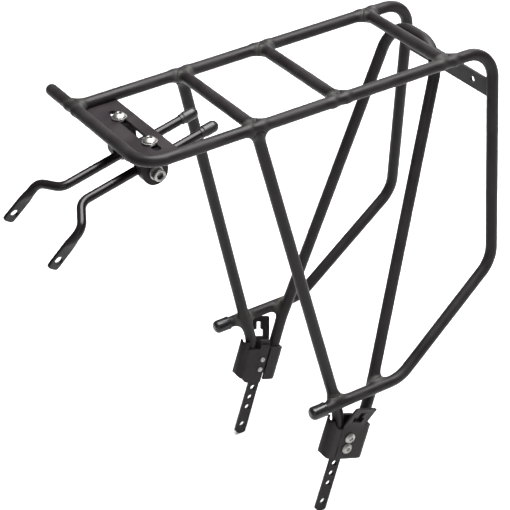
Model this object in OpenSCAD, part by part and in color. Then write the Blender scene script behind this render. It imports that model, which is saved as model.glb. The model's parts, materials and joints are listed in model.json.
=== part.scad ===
// Rear rack for a bicycle: welded tube frame, height strips on folded clamp plates,
// and two adjustable stay arms on a slotted plate.
// Frame: +X forward, +Y the bike's left, +Z up; origin on the dropout hole axis, midway.

/* [Tube frame] */
// outer diameter of every frame tube
tube_d = 10; // [8:0.5:14]
// wall of the frame tubes
tube_wall = 1.5; // [1:0.1:2.5]
// height of the deck tube axes over the dropout holes
deck_z = 374; // [320:1:420]
// half spacing of the two deck rails
rail_y = 59; // [50:0.5:75]
// front bar position
front_x = 131; // [110:1:160]
// first crossbar position, where the front legs start
bar1_x = 34; // [10:1:60]
// second crossbar position
bar2_x = -42.5; // [-70:0.5:-20]
// third crossbar position
bar3_x = -146; // [-170:0.5:-110]
// rear end of the deck
rear_x = -191.2; // [-230:1:-170]
// how far the front bar runs past the right rail
horn_len = 43.7; // [0:1:60]
// bend radius of the front left corner
corner_r = 20; // [14:1:35]
// bend radius where the deck turns down
drop_r = 24; // [16:1:40]
// bend radius of the lower side bends
low_r = 30; // [16:1:45]

/* [Lower rails] */
// half spacing of the pannier rails
pannier_y = 80; // [70:0.5:95]
// height of the pannier rails
pannier_z = 105; // [80:1:140]
// front end of the pannier rails
pannier_front_x = 10; // [-10:0.5:40]
// cap outside diameter
cap_d = 12.4; // [11.5:0.1:16]
// cap length
cap_len = 15; // [10:0.5:25]
// how far a cap runs past the rail's end
cap_over = 3.5; // [2:0.5:8]
// edge radius of a cap
cap_round = 4; // [1:0.1:5]

/* [Clamps and height strips] */
// half spacing of the clamp middle planes
clamp_y = 72; // [62:0.5:90]
// lean of the strips from vertical
strip_lean = 21.4; // [0:0.2:35]
// clamp sheet thickness
sheet = 2; // [1.5:0.1:3]
// strip width
strip_w = 10.5; // [9:0.5:16]
// strip thickness
strip_t = 3; // [2:0.5:5]
// pitch of the strip holes
strip_pitch = 10; // [8:0.5:15]
// distance from the dropout hole to the first adjusting hole
strip_gap = 18; // [14:0.5:25]
// adjusting hole diameter
strip_hole_d = 5.2; // [4.5:0.1:6.5]
// dropout hole diameter
dropout_hole_d = 5.6; // [5.2:0.1:6.6]

/* [Stay clamps] */
// slot bolt position along the deck
slot_x = 108; // [100:0.5:118]
// length of the slot
slot_len = 80; // [60:1:90]
// width of the slot
slot_w = 6.4; // [6.2:0.1:8]
// clamp position either side of the middle
stay_y = 25; // [22:0.5:34]
// height of the cross bolt axis
cross_z = 347.8; // [340:0.1:352]
// width of the clamp block
block_w = 22; // [18:1:28]

/* [Stay arms] */
// rod diameter
rod_d = 7.5; // [6:0.5:8]
// downward pitch of the rods toward the front
rod_pitch = 12.5; // [0:0.1:25]
// half spacing of the rods
rod_y = 15; // [13:0.5:16]
// roll of the left arm about its rod
left_roll = -17; // [-30:0.5:30]
// roll of the right arm about its rod
right_roll = 17; // [-30:0.5:30]
// how far forward the left arm is slid
left_slide = -0.8; // [-3:0.1:3]
// how far forward the right arm is slid
right_slide = 0.7; // [-3:0.1:3]
// eye hole diameter
eye_d = 6.6; // [5.2:0.1:7]

/* [Light plate] */
// spacing of the two light holes
light_pitch = 80; // [50:1:80]
// light hole diameter
light_hole_d = 5.5; // [4.5:0.1:6.5]
// middle of the light plate along the bike
light_x = -185.4; // [-187:0.1:-184]
// height of the light plate's middle
light_z = 339.5; // [330:1:345]

/* [Hidden] */
$fn = 64;
tr = tube_d / 2;
ti = tr - tube_wall;
drop_y = 75.3;
drop_low = [-177.3, drop_y, 184];
strip_y = clamp_y - tr + strip_t / 2;
fit_gap = 0.05;
// bends are drawn this much slimmer, and the straights run this far into them
slim = 0.01;
lap = 0.3;
leg_v = 12.2;
hoop_v = -13.5;
hoop_top = [bar3_x - tube_d - 0.75, 33.6, deck_z];

function unit(v) = v / norm(v);
function mid(s, v, y) = [v * cos(strip_lean) - s * sin(strip_lean), y, s * cos(strip_lean) + v * sin(strip_lean)];
function flip(p) = [p[0], -p[1], p[2]];

left_path = [[front_x, -rail_y - horn_len + tr, deck_z], [front_x, rail_y, deck_z], [rear_x, rail_y, deck_z],
             drop_low, [-77, pannier_y, pannier_z], [pannier_front_x, pannier_y, pannier_z]];
left_bends = [0, corner_r, drop_r, low_r, low_r, 0];
right_path = [[front_x, -rail_y, deck_z], [rear_x, -rail_y, deck_z], flip(drop_low),
              [-77, -pannier_y, pannier_z], [pannier_front_x, -pannier_y, pannier_z]];
right_bends = [0, drop_r, low_r, low_r, 0];
leg_path = [[bar1_x, rail_y, deck_z], [-13.3, 73, 114.7], mid(83.7, leg_v, clamp_y), mid(52, leg_v, clamp_y)];
leg_bends = [0, 60, 26, 0];
hoop_foot = mid(52, hoop_v, clamp_y);
hoop_knee = mid(107, hoop_v, clamp_y);
hoop_path = [hoop_foot, hoop_knee, hoop_top, flip(hoop_top), flip(hoop_knee), flip(hoop_foot)];
hoop_bends = [0, 60, 30, 30, 60, 0];

// ---------- building blocks ----------
module frame(o, x, y, z) {
    multmatrix([[x[0], y[0], z[0], o[0]], [x[1], y[1], z[1], o[1]], [x[2], y[2], z[2], o[2]], [0, 0, 0, 1]]) children();
}

module along(a, b) {
    z = unit(b - a);
    x = unit(cross(abs(z[2]) < 0.9 ? [0, 0, 1] : [1, 0, 0], z));
    frame(a, x, cross(z, x), z) children();
}

module piece(a, b, ro, ri) {
    along(a, b) difference() {
        cylinder(r = ro, h = norm(b - a));
        if (ri > 0) translate([0, 0, -1]) cylinder(r = ri, h = norm(b - a) + 2);
    }
}

function turn(a, b, c) = acos(unit(b - a) * unit(c - b));
function inset(p, q, i) = (i <= 0 || i >= len(p) - 1 || q[i] == 0) ? 0 : q[i] * tan(turn(p[i - 1], p[i], p[i + 1]) / 2) - lap;

module elbow(a, b, c, r, ro, ri) {
    d = unit(b - a);
    n = unit(cross(d, unit(c - b)));
    s = b - d * r * tan(turn(a, b, c) / 2);
    w = cross(n, d);
    frame(s + w * r, -w, d, n) rotate_extrude(angle = turn(a, b, c)) translate([r, 0]) difference() {
        circle(r = ro - slim);
        if (ri > 0) circle(r = ri + slim);
    }
}

// a tube bent round a list of points: p corners, q bend radii
module bent_tube(p, q, ro, ri) {
    for (i = [0 : len(p) - 2]) {
        d = unit(p[i + 1] - p[i]);
        piece(p[i] + d * inset(p, q, i), p[i + 1] - d * inset(p, q, i + 1), ro, ri);
    }
    for (i = [1 : len(p) - 2]) if (q[i] > 0) elbow(p[i - 1], p[i], p[i + 1], q[i], ro, ri);
}

module rod_y(x, z, y0, y1, r) {
    translate([x, y0, z]) rotate([-90, 0, 0]) cylinder(r = r, h = y1 - y0);
}

module rail_core(side) {
    translate([rear_x - 20, side * rail_y, deck_z]) rotate([0, 90, 0]) cylinder(r = tr, h = front_x - rear_x + 30);
}

module right(is_right) {
    if (is_right) mirror([0, 1, 0]) children();
    else children();
}

// the clamp's own axes: x forward across the strip, z up along it
module tilt() {
    rotate([0, -strip_lean, 0]) children();
}

module hex(af, h) {
    cylinder(d = af / cos(30), h = h, $fn = 6);
}

// ---------- tube frame ----------
module left_side_tube() color([0.16, 0.16, 0.17]) {
    difference() {
        union() {
            bent_tube(left_path, left_bends, tr, ti);
            difference() {
                translate(left_path[0]) sphere(r = tr - slim);
                translate(left_path[0] + [-10, lap, -10]) cube(20);
            }
        }
        leg_cores(1);
        hoop_core(1);
    }
}

module right_side_tube() color([0.16, 0.16, 0.17]) {
    difference() {
        bent_tube(right_path, right_bends, tr, ti);
        translate([front_x, -rail_y - 10, deck_z]) rotate([-90, 0, 0]) cylinder(r = tr, h = 20);
        leg_cores(-1);
        hoop_core(-1);
    }
}

module leg_cores(side) {
    a = leg_path[1];
    b = leg_path[2];
    right(side < 0) piece(a + (a - b) * 0.2, b, tr, 0);
}

module hoop_core(side) {
    right(side < 0) piece(hoop_path[1] - [0, 0, 4], hoop_path[1] * 0.8 + hoop_path[2] * 0.2, tr, 0);
}

module crossbar(x) {
    difference() {
        rod_y_tube(x);
        rail_core(1);
        rail_core(-1);
    }
}

module rod_y_tube(x) {
    translate([x, -rail_y, deck_z]) rotate([-90, 0, 0]) difference() {
        cylinder(r = tr, h = 2 * rail_y);
        translate([0, 0, -1]) cylinder(r = ti, h = 2 * rail_y + 2);
    }
}

module front_crossbar() color([0.16, 0.16, 0.17]) crossbar(bar1_x);
module middle_crossbar() color([0.16, 0.16, 0.17]) crossbar(bar2_x);
module rear_crossbar() color([0.16, 0.16, 0.17]) crossbar(bar3_x);

module front_leg() {
    difference() {
        bent_tube(leg_path, leg_bends, tr, ti);
        rail_core(1);
        rod_y(bar1_x, deck_z, 0, rail_y, tr);
    }
}

module left_front_leg() color([0.16, 0.16, 0.17]) front_leg();
module right_front_leg() color([0.16, 0.16, 0.17]) mirror([0, 1, 0]) front_leg();
module rear_leg_hoop() color([0.16, 0.16, 0.17]) bent_tube(hoop_path, hoop_bends, tr, ti);

module stay_plate() color([0.2, 0.2, 0.21]) difference() {
    translate([0, 0, deck_z - 5.5]) linear_extrude(3) difference() {
        union() {
            translate([slot_x - 13, -rail_y]) square([front_x - slot_x + 13, 2 * rail_y - corner_r]);
            translate([slot_x - 13, rail_y - corner_r - 1]) square([front_x - corner_r - slot_x + 13, corner_r + 1]);
            intersection() {
                translate([front_x - corner_r, rail_y - corner_r]) circle(r = corner_r);
                translate([front_x - corner_r, rail_y - corner_r]) square(corner_r);
            }
        }
        translate([slot_x, -slot_len / 2 + slot_w / 2]) circle(d = slot_w);
        translate([slot_x, slot_len / 2 - slot_w / 2]) circle(d = slot_w);
        translate([slot_x - slot_w / 2, -slot_len / 2 + slot_w / 2]) square([slot_w, slot_len - slot_w]);
    }
    rod_y(front_x, deck_z, -rail_y - 10, rail_y - corner_r, tr);
    elbow(left_path[0], left_path[1], left_path[2], corner_r, tr, 0);
    rail_core(-1);
    piece(left_path[1] - [corner_r, 0, 0], left_path[1] - [60, 0, 0], tr, 0);
}

module light_plate() color([0.16, 0.16, 0.17]) difference() {
    translate([light_x - 1, 0, light_z]) rotate([90, 0, 90]) linear_extrude(2) difference() {
        square([2 * rail_y + 3.2, 16], center = true);
        translate([-light_pitch / 2, 0]) circle(d = light_hole_d);
        translate([light_pitch / 2, 0]) circle(d = light_hole_d);
    }
    piece(left_path[2], left_path[3], tr, 0);
    piece(flip(left_path[2]), flip(left_path[3]), tr, 0);
}

module rail_cap() {
    x0 = pannier_front_x + cap_over - cap_len;
    translate([x0, pannier_y, pannier_z]) rotate([0, 90, 0]) difference() {
        rotate_extrude() {
            square([cap_d / 2 - cap_round, cap_len]);
            square([cap_d / 2, cap_len - cap_round]);
            translate([cap_d / 2 - cap_round, cap_len - cap_round]) intersection() {
                circle(r = cap_round);
                square(cap_round);
            }
        }
        translate([0, 0, -1]) cylinder(r = tr, h = cap_len - cap_over + 1);
    }
}

module left_rail_cap() color([0.05, 0.05, 0.05]) rail_cap();
module right_rail_cap() color([0.05, 0.05, 0.05]) mirror([0, 1, 0]) rail_cap();

// ---------- folded clamp plates, strips and their bolts ----------
fold_i = tr + fit_gap;
fold_o = fold_i + sheet;
// where the two folds sit across the strip
clamp_v = 15.7;
hook_v = -14.9;

module fold(v, leaf_in, leaf_out) {
    // half ring round v, with an inner leaf to leaf_in and an outer leaf to leaf_out
    dir = v > 0 ? 1 : -1;
    difference() {
        union() {
            translate([v, clamp_y]) circle(r = fold_o);
            translate([min(v, leaf_in), clamp_y - fold_o]) square([abs(v - leaf_in), sheet]);
            translate([min(v, leaf_out), clamp_y + fold_i]) square([abs(v - leaf_out), sheet]);
        }
        translate([v, clamp_y]) circle(r = fold_i);
        translate([v + (dir > 0 ? -40 : 0), clamp_y - fold_i]) square([40, 2 * fold_i]);
    }
}

module side_shape(h0, h1) {
    // outline in x and z, cut through along y
    translate([0, h1, 0]) rotate([90, 0, 0]) linear_extrude(h1 - h0) children();
}

// outline of the clamp plate where it folds, the same on both leaves
module fold_edge() {
    translate([clamp_v + 0.5, 54.5]) square([10, 24]);
    translate([clamp_v + 1, 54.5]) circle(r = 6);
    translate([clamp_v + 1, 78.5]) circle(r = 6);
}

module clamp_plate() tilt() intersection() {
    translate([0, 0, 44]) linear_extrude(42) fold(clamp_v, -4.6, 10.2);
    union() {
        side_shape(clamp_y - 12, clamp_y) difference() {
            union() {
                translate([-8, 44.5]) square([18, 10]);
                translate([10, 50.5]) circle(r = 6);
                translate([-8, 48.5]) square([clamp_v + 9, 34]);
                fold_edge();
            }
            translate([0, strip_gap + 4 * strip_pitch]) circle(r = 2.5);
            translate([0, strip_gap + 5 * strip_pitch]) circle(r = 2.5);
            translate([5.5, 78]) square([12.4, 10]);
        }
        side_shape(clamp_y, clamp_y + 12) difference() {
            union() {
                translate([8, 48.5]) square([clamp_v - 7, 36]);
                fold_edge();
            }
            translate([11, 85.5]) circle(r = 9);
        }
    }
}

module hook_profile() {
    y = clamp_y + fold_i;
    polygon([[y, 60], [y + sheet, 60], [y + sheet, 79.3], [y + sheet + 9.6, 100.6], [y + sheet + 7.7, 101.4], [y, 79.8]]);
}

module hook_plate() tilt() {
    difference() {
        union() {
            intersection() {
                translate([0, 0, 46]) linear_extrude(40) fold(hook_v, -6.6, 9.4);
                side_shape(clamp_y - 12, clamp_y + 12) union() {
                    translate([hook_v, 47.5]) square([30, 32.3]);
                    translate([hook_v - 10, 51.5]) square([20, 25.5]);
                    translate([hook_v - 2, 52.5]) circle(r = 5);
                    translate([hook_v - 3, 76.3]) circle(r = 4);
                    translate([hook_v - 3, 70]) square([9, 10.3]);
                }
            }
            intersection() {
                translate([-11.6, 0, 0]) rotate([90, 0, 90]) linear_extrude(21.4) hook_profile();
                side_shape(clamp_y - 12, clamp_y + 24) union() {
                    translate([-11.6, 60]) square([21.4, 39.4]);
                    translate([-9.6, 90]) square([17.4, 12]);
                    translate([-9.6, 99.4]) circle(r = 2);
                    translate([7.8, 99.4]) circle(r = 2);
                }
            }
        }
        side_shape(clamp_y, clamp_y + 24) {
            translate([-5.2, 84]) square([10.4, 6.2]);
            translate([-2.6, 90]) square([5.2, 6.6]);
            translate([0, strip_gap + 4 * strip_pitch]) circle(r = 2.6);
            translate([0, strip_gap + 5 * strip_pitch]) circle(r = 2.6);
        }
    }
}

module height_strip() tilt() {
    top = strip_gap + 6 * strip_pitch + 8;
    side_shape(strip_y - strip_t / 2, strip_y + strip_t / 2) difference() {
        union() {
            intersection() {
                translate([-strip_w / 2, -12]) square([strip_w, 30]);
                translate([0, -2]) circle(r = 7.5);
            }
            translate([-strip_w / 2, -3]) square([strip_w, top + 1.5]);
            translate([-strip_w / 2 + 1.5, 0]) square([strip_w - 3, top]);
            translate([-strip_w / 2 + 1.5, top - 1.5]) circle(r = 1.5);
            translate([strip_w / 2 - 1.5, top - 1.5]) circle(r = 1.5);
        }
        circle(d = dropout_hole_d);
        for (i = [0 : 6]) translate([0, strip_gap + i * strip_pitch]) circle(d = strip_hole_d);
    }
}

// pan head bolt pointing inboard from the outer leaf
module pan_bolt(r, head_r, head_h, len) {
    rotate([90, 0, 0]) difference() {
        union() {
            cylinder(r = r, h = len);
            intersection() {
                translate([0, 0, -head_h]) cylinder(r = head_r, h = head_h);
                translate([0, 0, head_r * 1.55 - head_h]) sphere(r = head_r * 1.55);
            }
        }
        translate([0, 0, -head_h - 0.01]) hex(3, 1.6);
    }
}

module clamp_bolts() tilt() {
    for (i = [4, 5])
        translate([0, clamp_y + fold_o, strip_gap + i * strip_pitch]) pan_bolt(2.4, 4.8, 2.9, 2 * fold_o + 1.2);
}

module left_clamp_plate() color([0.2, 0.2, 0.21]) clamp_plate();
module right_clamp_plate() color([0.2, 0.2, 0.21]) mirror([0, 1, 0]) clamp_plate();
module left_hook_plate() color([0.2, 0.2, 0.21]) hook_plate();
module right_hook_plate() color([0.2, 0.2, 0.21]) mirror([0, 1, 0]) hook_plate();
module left_height_strip() color([0.16, 0.16, 0.17]) height_strip();
module right_height_strip() color([0.16, 0.16, 0.17]) mirror([0, 1, 0]) height_strip();
module left_clamp_bolts() color([0.75, 0.75, 0.74]) clamp_bolts();
module right_clamp_bolts() color([0.75, 0.75, 0.74]) mirror([0, 1, 0]) clamp_bolts();

// ---------- stay clamps under the slotted plate ----------
plate_top = deck_z - 2.5;
plate_bottom = deck_z - 5.5;
slide_gap = 0.15;
block_top = plate_bottom - slide_gap;
block_r = block_w / 2;
block_in = stay_y - 5;
block_out = stay_y + 5;

module slot_washer() translate([slot_x, stay_y, plate_top + slide_gap]) difference() {
    cylinder(d = 12.5, h = 1.5);
    translate([0, 0, -1]) cylinder(d = 6.1, h = 4);
}

module slot_bolt() translate([slot_x, stay_y, plate_top + slide_gap + 1.5]) difference() {
    union() {
        translate([0, 0, -20]) cylinder(r = 3, h = 20);
        intersection() {
            cylinder(r = 5.25, h = 3.3);
            translate([0, 0, -3.4]) sphere(r = 6.7);
        }
    }
    translate([0, 0, 1.3]) hex(4, 4);
}

module clamp_block() difference() {
    union() {
        translate([slot_x - block_r, block_in, cross_z]) cube([block_w, 10, block_top - cross_z]);
        rod_y(slot_x, cross_z, block_in, block_out, block_r);
    }
    translate([slot_x, stay_y, cross_z + 5]) cylinder(r = 3 + fit_gap, h = 30);
    rod_y(slot_x, cross_z, block_in - 1, block_out + 1, 4.5 + fit_gap);
}

// everything that pitches about the cross bolt is drawn level, then turned to the rod
module pitched() {
    translate([slot_x, 0, cross_z]) rotate([0, rod_pitch, 0]) children();
}

module eye_nut() pitched() difference() {
    union() {
        rod_y(0, 0, rod_y - rod_d / 2 - 2.4, block_in - slide_gap, 8);
        rod_y(0, 0, block_in - slide_gap - 1, block_out - 0.1, 4.5);
    }
    rod_y(0, 0, block_in + 1.5, block_out + 1, 3);
    translate([-10, rod_y, 0]) rotate([0, 90, 0]) cylinder(r = rod_d / 2 + fit_gap, h = 20);
}

module cross_washer() pitched() difference() {
    rod_y(0, 0, block_out + slide_gap, block_out + slide_gap + 1.5, 6);
    rod_y(0, 0, block_out - 1, block_out + 4, 3.1);
}

module cross_bolt() pitched() difference() {
    union() {
        rod_y(0, 0, block_in + 2.5, block_out + slide_gap + 1.6, 3);
        rod_y(0, 0, block_out + slide_gap + 1.5, block_out + slide_gap + 7.5, 5);
    }
    translate([0, block_out + slide_gap + 4.3, 0]) rotate([-90, 0, 0]) hex(5, 4);
}

// ---------- stay arms ----------
arm_tail = -65.6;
arm_a = [60.6, 0, 0];
arm_b = [72, 19, -4];
arm_c = [97.3, 19.8, -22.1];
arm_r = 11;
paddle_from = 9;
paddle_w = 11.5;
paddle_t = 3;
paddle_end = 9;
paddle_round = 3;
tip_len = 16;
tip_r = 4.9;

module posed(roll, slide) {
    pitched() translate([slide, rod_y, 0]) rotate([roll, 0, 0]) children();
}

module arm(roll, slide) posed(roll, slide) {
    d = unit(arm_c - arm_b);
    y = unit([0, 1, 0] - d * d[1]);
    reach = norm(arm_c - arm_b);
    difference() {
        union() {
            bent_tube([[arm_tail + 3, 0, 0], arm_a, arm_b, arm_b + d * (paddle_from + 0.5)], [0, arm_r, arm_r, 0], rod_d / 2, 0);
            frame(arm_b, d, y, cross(d, y)) paddle(reach);
        }
        frame(arm_b, d, y, cross(d, y)) translate([reach, -6, 0]) rotate([-90, 0, 0]) cylinder(d = eye_d, h = 12);
    }
}

// flattened end of the rod: x along the arm, y through the flat
module paddle(reach) {
    r = rod_d / 2 * 0.97;
    p = paddle_from;
    t = paddle_t / 2;
    w = paddle_w / 2;
    end = reach + paddle_end - paddle_round;
    intersection() {
        translate([0, 0, -10]) linear_extrude(20) polygon([[p, -r], [p + 4, -t - 1.3], [p + 8, -t - 0.4], [p + 12, -t], [end + w, -t],
            [end + w, t], [p + 12, t], [p + 8, t + 0.4], [p + 4, t + 1.3], [p, r]]);
        translate([0, 10, 0]) rotate([90, 0, 0]) linear_extrude(20) {
            polygon([[p, -r], [p + 4, -r - 0.6], [p + 9, -w + 0.5], [p + 13, -w], [end, -w],
                [end, w], [p + 13, w], [p + 9, w - 0.5], [p + 4, r + 0.6], [p, r]]);
            translate([end - 1, paddle_round - w]) square([paddle_round + 1, 2 * (w - paddle_round)]);
            translate([end, paddle_round - w]) circle(r = paddle_round);
            translate([end, w - paddle_round]) circle(r = paddle_round);
        }
    }
}

module arm_tip(roll, slide) posed(roll, slide) rotate([0, 90, 0]) difference() {
    union() {
        translate([0, 0, arm_tail + tip_r]) cylinder(r = tip_r, h = tip_len - tip_r - 3);
        translate([0, 0, arm_tail + tip_r]) cylinder(r = 4.4, h = tip_len - tip_r);
        translate([0, 0, arm_tail + tip_r + lap]) sphere(r = tip_r - slim);
    }
    translate([0, 0, arm_tail + 3]) cylinder(r = rod_d / 2, h = 20);
}

module left_slot_bolt() color([0.75, 0.75, 0.74]) slot_bolt();
module left_slot_washer() color([0.75, 0.75, 0.74]) slot_washer();
module left_clamp_block() color([0.2, 0.2, 0.21]) clamp_block();
module left_eye_nut() color([0.12, 0.12, 0.12]) eye_nut();
module left_cross_washer() color([0.75, 0.75, 0.74]) cross_washer();
module left_cross_bolt() color([0.75, 0.75, 0.74]) cross_bolt();
module left_stay_arm() color([0.05, 0.05, 0.05]) arm(left_roll, left_slide);
module left_arm_tip() color([0.08, 0.08, 0.08]) arm_tip(left_roll, left_slide);
module right_slot_bolt() color([0.75, 0.75, 0.74]) mirror([0, 1, 0]) slot_bolt();
module right_slot_washer() color([0.75, 0.75, 0.74]) mirror([0, 1, 0]) slot_washer();
module right_clamp_block() color([0.2, 0.2, 0.21]) mirror([0, 1, 0]) clamp_block();
module right_eye_nut() color([0.12, 0.12, 0.12]) mirror([0, 1, 0]) eye_nut();
module right_cross_washer() color([0.75, 0.75, 0.74]) mirror([0, 1, 0]) cross_washer();
module right_cross_bolt() color([0.75, 0.75, 0.74]) mirror([0, 1, 0]) cross_bolt();
module right_stay_arm() color([0.05, 0.05, 0.05]) mirror([0, 1, 0]) arm(right_roll, right_slide);
module right_arm_tip() color([0.08, 0.08, 0.08]) mirror([0, 1, 0]) arm_tip(right_roll, right_slide);

left_side_tube();
right_side_tube();
front_crossbar();
middle_crossbar();
rear_crossbar();
left_front_leg();
right_front_leg();
rear_leg_hoop();
stay_plate();
light_plate();
left_rail_cap();
right_rail_cap();
left_clamp_plate();
left_hook_plate();
left_height_strip();
left_clamp_bolts();
right_clamp_plate();
right_hook_plate();
right_height_strip();
right_clamp_bolts();
left_slot_bolt();
left_slot_washer();
left_clamp_block();
left_eye_nut();
left_cross_washer();
left_cross_bolt();
left_stay_arm();
left_arm_tip();
right_slot_bolt();
right_slot_washer();
right_clamp_block();
right_eye_nut();
right_cross_washer();
right_cross_bolt();
right_stay_arm();
right_arm_tip();
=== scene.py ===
"""Looks for a bicycle rear rack: coated tubes, blended welds, folded clamps, stay arms, a pale studio."""

from __future__ import annotations

import json
import logging
import math
from collections.abc import Sequence
from dataclasses import dataclass, field
from enum import Enum

import bmesh
import bpy
import numpy as np
from mathutils import Matrix, Vector

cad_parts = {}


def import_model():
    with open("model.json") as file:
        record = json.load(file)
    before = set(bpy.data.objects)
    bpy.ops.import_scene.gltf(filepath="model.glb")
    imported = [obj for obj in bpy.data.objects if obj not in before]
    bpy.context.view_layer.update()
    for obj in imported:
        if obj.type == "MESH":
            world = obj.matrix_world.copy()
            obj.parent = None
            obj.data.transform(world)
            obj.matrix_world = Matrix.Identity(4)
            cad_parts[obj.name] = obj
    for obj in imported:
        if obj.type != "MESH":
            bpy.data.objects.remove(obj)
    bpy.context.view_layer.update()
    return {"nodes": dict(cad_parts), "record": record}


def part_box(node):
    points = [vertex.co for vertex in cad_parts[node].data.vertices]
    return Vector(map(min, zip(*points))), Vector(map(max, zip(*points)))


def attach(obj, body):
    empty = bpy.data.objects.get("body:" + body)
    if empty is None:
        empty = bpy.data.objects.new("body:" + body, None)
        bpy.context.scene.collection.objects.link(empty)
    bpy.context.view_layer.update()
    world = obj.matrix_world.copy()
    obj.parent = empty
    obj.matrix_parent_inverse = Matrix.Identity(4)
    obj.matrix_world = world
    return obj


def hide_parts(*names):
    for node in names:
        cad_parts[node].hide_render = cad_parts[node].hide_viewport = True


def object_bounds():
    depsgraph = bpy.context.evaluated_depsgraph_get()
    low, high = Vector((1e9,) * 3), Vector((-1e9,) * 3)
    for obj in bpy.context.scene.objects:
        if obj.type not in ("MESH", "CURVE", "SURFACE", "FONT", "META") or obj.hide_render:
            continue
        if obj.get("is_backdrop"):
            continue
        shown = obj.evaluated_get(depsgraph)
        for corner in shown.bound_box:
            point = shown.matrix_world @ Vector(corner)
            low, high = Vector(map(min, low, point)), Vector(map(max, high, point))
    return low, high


LOG = logging.getLogger("rear_rack")
MM = 0.001
TAU = 2 * math.pi
CLAMP_LEAN = math.radians(21.4)  # how far the height strips lean back from upright


class Side(Enum):
    """The bike's two sides, with the sign of y on each."""

    LEFT = 1
    RIGHT = -1

    @property
    def word(self) -> str:
        """The side as it is written in node and body names."""
        return self.name.lower()

    def flip(self, points: np.ndarray) -> np.ndarray:
        """Points of the left side, mirrored where this is the right one."""
        return np.asarray(points, float) * np.array([1.0, self.value, 1.0])


class Slot(Enum):
    """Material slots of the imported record."""

    COAT = "black_powder_coat"
    SHEET = "black_steel_sheet"
    GLOSS = "gloss_black_steel"
    RUBBER = "black_rubber"
    PLASTIC = "black_plastic"
    ZINC = "zinc_steel"


# ---------------------------------------------------------------- shader writing


class Wire:
    """A shader value that can be written in sums, differences and products."""

    def __init__(self, book: MaterialBook, socket: bpy.types.NodeSocket) -> None:
        """Keeps the socket and the book whose tree it belongs to."""
        self.book = book
        self.socket = socket

    def _math(self, operation: str, first: Wire | float, second: Wire | float) -> Wire:
        """One Math node on two values."""
        return self.book.node("ShaderNodeMath", {"operation": operation}, {0: first, 1: second})

    def __add__(self, other: Wire | float) -> Wire:
        """self + other."""
        return self._math("ADD", self, other)

    __radd__ = __add__

    def __sub__(self, other: Wire | float) -> Wire:
        """self - other."""
        return self._math("SUBTRACT", self, other)

    def __mul__(self, other: Wire | float) -> Wire:
        """self * other."""
        return self._math("MULTIPLY", self, other)

    __rmul__ = __mul__


class MaterialBook:
    """Writes one node material round a Principled shader."""

    def __init__(self, name: str) -> None:
        """Starts an empty material.

        Args:
            name: the material's name.
        """
        self.material = bpy.data.materials.new(name)
        self.material.use_nodes = True
        self.tree = self.material.node_tree
        self.tree.nodes.clear()
        self.shader = self.tree.nodes.new("ShaderNodeBsdfPrincipled")
        output = self.tree.nodes.new("ShaderNodeOutputMaterial")
        self.tree.links.new(self.shader.outputs[0], output.inputs[0])
        self.place = self.node("ShaderNodeTexCoord", out="Object")

    def node(
        self, kind: str, settings: dict | None = None, inputs: dict | None = None, out: str | int = 0
    ) -> Wire:
        """Adds a node.

        Args:
            kind: the node's type.
            settings: its properties, set before its sockets.
            inputs: values or wires by socket name or number.
            out: the output to hand back.

        Returns:
            A wire on the chosen output.
        """
        made = self.tree.nodes.new(kind)
        for key, value in (settings or {}).items():
            setattr(made, key, value)
        for key, value in (inputs or {}).items():
            self.feed(made.inputs[key], value)
        return Wire(self, made.outputs[out])

    def feed(self, socket: bpy.types.NodeSocket, value: Wire | float | Sequence[float]) -> None:
        """Links a wire to a socket, or sets a plain value on it."""
        if isinstance(value, Wire):
            self.tree.links.new(value.socket, socket)
        else:
            socket.default_value = value

    def set(self, **sockets: Wire | float | Sequence[float]) -> None:
        """Feeds the shader's sockets, whose spaces are written as underscores."""
        for key, value in sockets.items():
            self.feed(self.shader.inputs[key.replace("_", " ")], value)

    def noise(self, scale: float, detail: float = 2.0, rough: float = 0.5, place: Wire | None = None) -> Wire:
        """A noise value near 0.5, with its features 1 / scale metres across."""
        inputs = {"Vector": place or self.place, "Scale": scale, "Detail": detail, "Roughness": rough}
        return self.node("ShaderNodeTexNoise", None, inputs, "Fac")

    def stretched(self, scale: Sequence[float]) -> Wire:
        """Object coordinates scaled along each axis, for brushed or drawn marks."""
        return self.node("ShaderNodeMapping", None, {"Vector": self.place, "Scale": tuple(scale)}, "Vector")

    def ramp(self, value: Wire, low: float, high: float) -> Wire:
        """A value eased from 0 at low to 1 at high."""
        return self.node(
            "ShaderNodeMapRange",
            {"interpolation_type": "SMOOTHSTEP"},
            {"Value": value, "From Min": low, "From Max": high},
            "Result",
        )

    def blend(
        self, factor: Wire | float, first: Sequence[float] | Wire, second: Sequence[float] | Wire
    ) -> Wire:
        """A colour between two, by a factor."""
        made = self.tree.nodes.new("ShaderNodeMix")
        made.data_type = "RGBA"
        for socket, value in ((made.inputs[0], factor), (made.inputs[6], first), (made.inputs[7], second)):
            self.feed(socket, value if isinstance(value, (Wire, float)) else (*value, 1.0))
        return Wire(self, made.outputs[2])

    def bump(self, height: Wire, strength: float, distance: float, under: Wire | None = None) -> Wire:
        """A bumped normal, laid over another where one is given."""
        inputs = {"Height": height, "Strength": strength, "Distance": distance}
        if under is not None:
            inputs["Normal"] = under
        return self.node("ShaderNodeBump", None, inputs, "Normal")

    def layer(self, name: str) -> Wire:
        """A number stored on the mesh under this name."""
        return self.node("ShaderNodeAttribute", {"attribute_name": name}, None, "Fac")


# ---------------------------------------------------------------- finishes


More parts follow.
